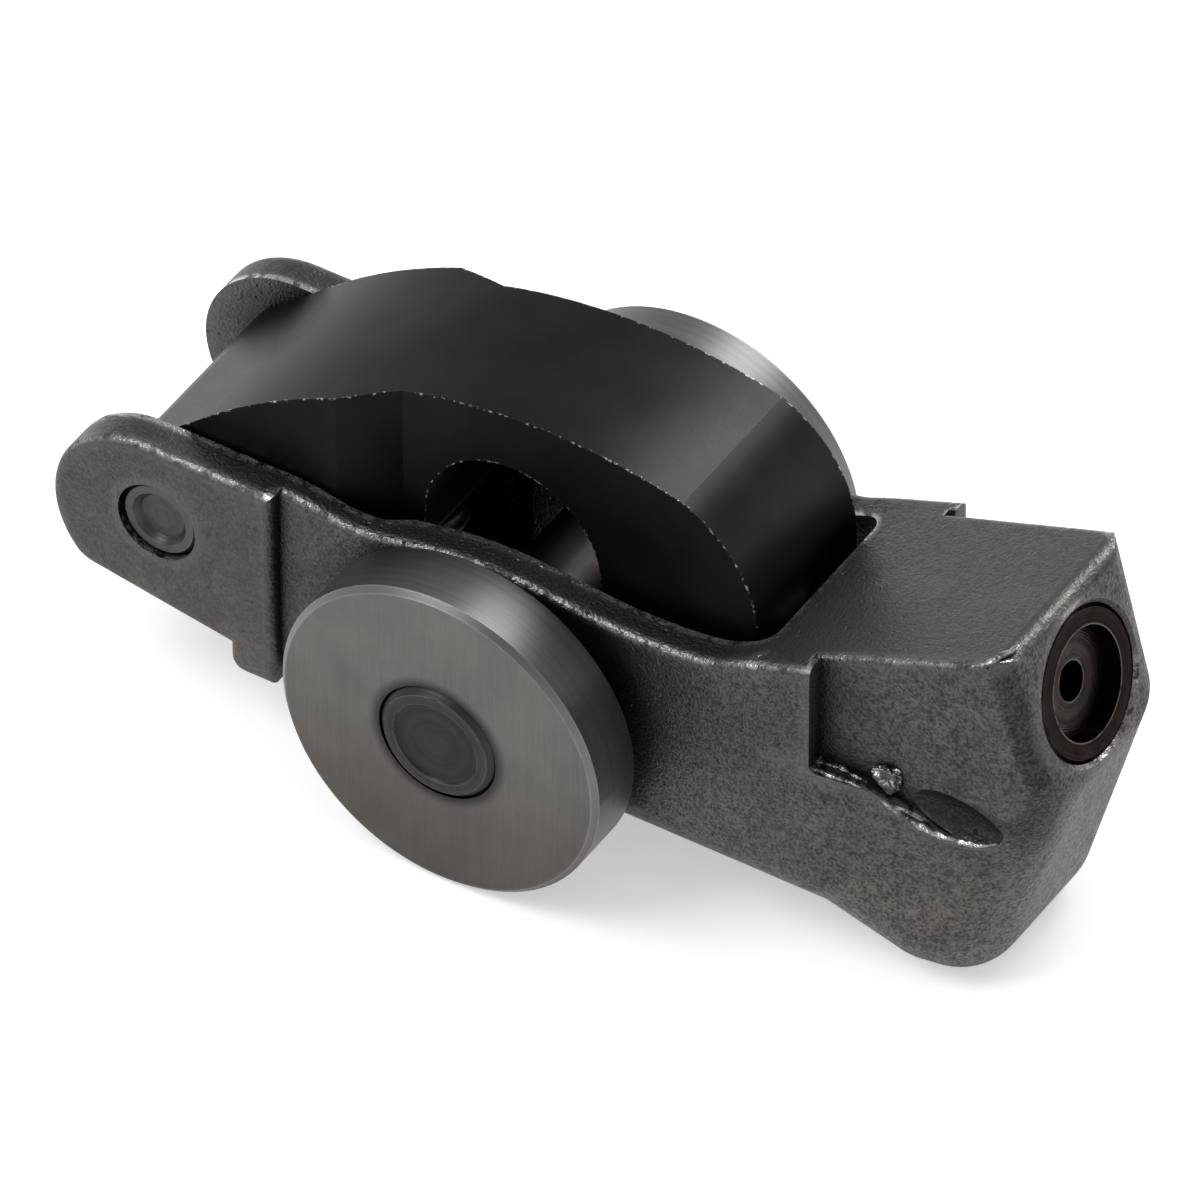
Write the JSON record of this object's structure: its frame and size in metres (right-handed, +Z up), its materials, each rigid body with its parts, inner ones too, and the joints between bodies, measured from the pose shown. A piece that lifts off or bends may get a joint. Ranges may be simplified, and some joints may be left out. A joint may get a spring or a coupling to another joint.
{
  "type": "rocker arm",
  "caption": "Switchable finger rocker arm: cast outer arm on outboard rollers, a sprung black slider lever between its walls, and a latch behind a cupped plug.",
  "frame": {"origin": "on the table under the middle of the part's length and width, as it lies on its rollers and its heel", "axes": "+X along the arm from the valve end to the lash adjuster end, +Y across towards the far roller, +Z up, away from the table, towards the camshaft"},
  "size_m": [0.052, 0.0234, 0.0225],
  "materials": {
    "cast_arm": "sand-blasted investment casting with rubbed edges",
    "black_lever": "satin black coating",
    "roller_steel": "ground faces and a polished tread",
    "pin_steel": "ground",
    "plug_steel": "dark turned steel",
    "spring_steel": "plain drawn wire"
  },
  "bodies": {
    "outer_arm": {"outer_arm_body": "cast_arm", "pivot_pin": "pin_steel", "roller_axle": "pin_steel", "near_thrust_washer": "pin_steel", "far_thrust_washer": "pin_steel", "latch_plug": "plug_steel", "latch_spring": "spring_steel", "lost_motion_spring": "spring_steel"},
    "inner_lever": {"inner_slider_lever": "black_lever"},
    "near_wheel": {"near_roller": "roller_steel"},
    "far_wheel": {"far_roller": "roller_steel"},
    "near_needle_ring": {"near_needle_01": "pin_steel", "near_needle_02": "pin_steel", "near_needle_03": "pin_steel", "near_needle_04": "pin_steel", "near_needle_05": "pin_steel", "near_needle_06": "pin_steel", "near_needle_07": "pin_steel", "near_needle_08": "pin_steel", "near_needle_09": "pin_steel", "near_needle_10": "pin_steel", "near_needle_11": "pin_steel", "near_needle_12": "pin_steel", "near_needle_13": "pin_steel", "near_needle_14": "pin_steel", "near_needle_15": "pin_steel"},
    "far_needle_ring": {"far_needle_01": "pin_steel", "far_needle_02": "pin_steel", "far_needle_03": "pin_steel", "far_needle_04": "pin_steel", "far_needle_05": "pin_steel", "far_needle_06": "pin_steel", "far_needle_07": "pin_steel", "far_needle_08": "pin_steel", "far_needle_09": "pin_steel", "far_needle_10": "pin_steel", "far_needle_11": "pin_steel", "far_needle_12": "pin_steel", "far_needle_13": "pin_steel", "far_needle_14": "pin_steel", "far_needle_15": "pin_steel"},
    "latch": {"latch_pin": "pin_steel"}
  },
  "joints": [
    {"name": "lever_swing", "type": "hinge", "parent": "outer_arm", "child": "inner_lever", "pos_m": [-0.02029, 0, 0.01035], "axis": [0, 1, 0], "range_deg": [0, 20], "stiffness_Nm_per_rad": 0.2, "springref_deg": -20.05, "deforming": ["lost_motion_spring"]},
    {"name": "near_roller_spin", "type": "hinge", "parent": "outer_arm", "child": "near_wheel", "pos_m": [-0.00254, -0.00975, 0.0085], "axis": [0, 1, 0], "continuous": true},
    {"name": "far_roller_spin", "type": "hinge", "parent": "outer_arm", "child": "far_wheel", "pos_m": [-0.00254, 0.00975, 0.0085], "axis": [0, 1, 0], "continuous": true},
    {"name": "near_needles_orbit", "type": "hinge", "parent": "outer_arm", "child": "near_needle_ring", "pos_m": [-0.00254, -0.00975, 0.0085], "axis": [0, 1, 0], "continuous": true},
    {"name": "far_needles_orbit", "type": "hinge", "parent": "outer_arm", "child": "far_needle_ring", "pos_m": [-0.00254, 0.00975, 0.0085], "axis": [0, 1, 0], "continuous": true},
    {"name": "latch_slide", "type": "slide", "parent": "outer_arm", "child": "latch", "axis": [-0.9588, 0, -0.284], "range_m": [0, 0.0018], "stiffness_N_per_m": 300, "springref_m": -0.004, "deforming": ["latch_spring"]}
  ],
  "couplings": [
    {"joint": "near_needles_orbit", "follows": "near_roller_spin", "ratio": 0.60459},
    {"joint": "far_needles_orbit", "follows": "far_roller_spin", "ratio": 0.60459}
  ]
}
